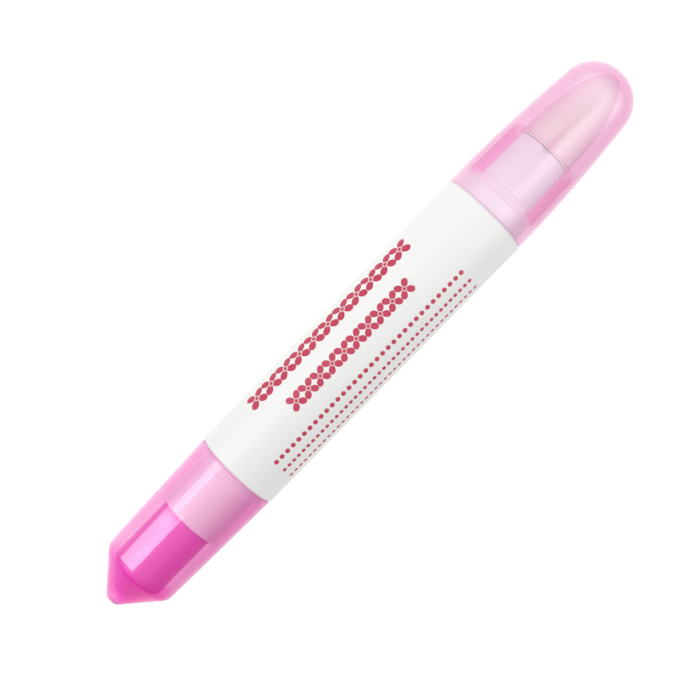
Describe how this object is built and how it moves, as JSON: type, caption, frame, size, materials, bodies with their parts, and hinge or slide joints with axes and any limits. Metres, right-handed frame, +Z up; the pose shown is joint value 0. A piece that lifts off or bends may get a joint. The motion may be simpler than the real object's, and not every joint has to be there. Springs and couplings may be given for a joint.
{
  "type": "nail polish remover pen",
  "caption": "Double-ended nail polish remover pen with a tapered barrel, a domed cap over the felt nib and a pointed cap over spare nibs.",
  "frame": {"origin": "under the middle of the pen's overall length, on the surface that it lies on", "axes": "+X along the pen from the pointed rear cap to the domed front cap, +Y across it, +Z up"},
  "size_m": [0.12, 0.0158, 0.0159],
  "materials": {
    "barrel_white": "satin white, opaque",
    "front_cap_pink": "glossy pale pink, translucent",
    "liner_pale": "satin pale pink-beige, slightly translucent",
    "holder_lilac": "satin pale lilac, opaque",
    "nib_felt": "dense off-white bonded felt",
    "wick_fibre": "off-white bonded fibre",
    "reservoir_fibre": "soft off-white fibre wadding, damp",
    "film_clear": "clear thin film",
    "rear_cap_pink": "glossy pink, translucent",
    "cup_magenta": "deep magenta, translucent",
    "plug_pale": "satin pale pink, opaque"
  },
  "bodies": {
    "pen_body": {"barrel": "barrel_white", "nib_holder": "holder_lilac", "transfer_wick": "wick_fibre", "reservoir": "reservoir_fibre", "reservoir_film": "film_clear", "rear_plug": "plug_pale"},
    "front_cap_body": {"front_cap": "front_cap_pink", "front_cap_liner": "liner_pale"},
    "rear_cap_body": {"rear_cap": "rear_cap_pink", "rear_cap_cup": "cup_magenta"},
    "nib_body": {"nib": "nib_felt"},
    "spare_nib_1_body": {"spare_nib_1": "nib_felt"},
    "spare_nib_2_body": {"spare_nib_2": "nib_felt"},
    "spare_nib_3_body": {"spare_nib_3": "nib_felt"}
  },
  "joints": [
    {"name": "front_cap_pull", "type": "slide", "parent": "pen_body", "child": "front_cap_body", "axis": [1, 0, 0], "range_m": [0, 0.03]},
    {"name": "rear_cap_pull", "type": "slide", "parent": "pen_body", "child": "rear_cap_body", "axis": [-1, 0, 0], "range_m": [0, 0.03]},
    {"name": "nib_pull", "type": "slide", "parent": "pen_body", "child": "nib_body", "axis": [1, 0, 0], "range_m": [0, 0.0072]},
    {"name": "spare_nib_1_pull", "type": "slide", "parent": "pen_body", "child": "spare_nib_1_body", "axis": [-1, 0, 0], "range_m": [0, 0.0075]},
    {"name": "spare_nib_2_pull", "type": "slide", "parent": "pen_body", "child": "spare_nib_2_body", "axis": [-1, 0, 0], "range_m": [0, 0.0075]},
    {"name": "spare_nib_3_pull", "type": "slide", "parent": "pen_body", "child": "spare_nib_3_body", "axis": [-1, 0, 0], "range_m": [0, 0.0075]}
  ]
}
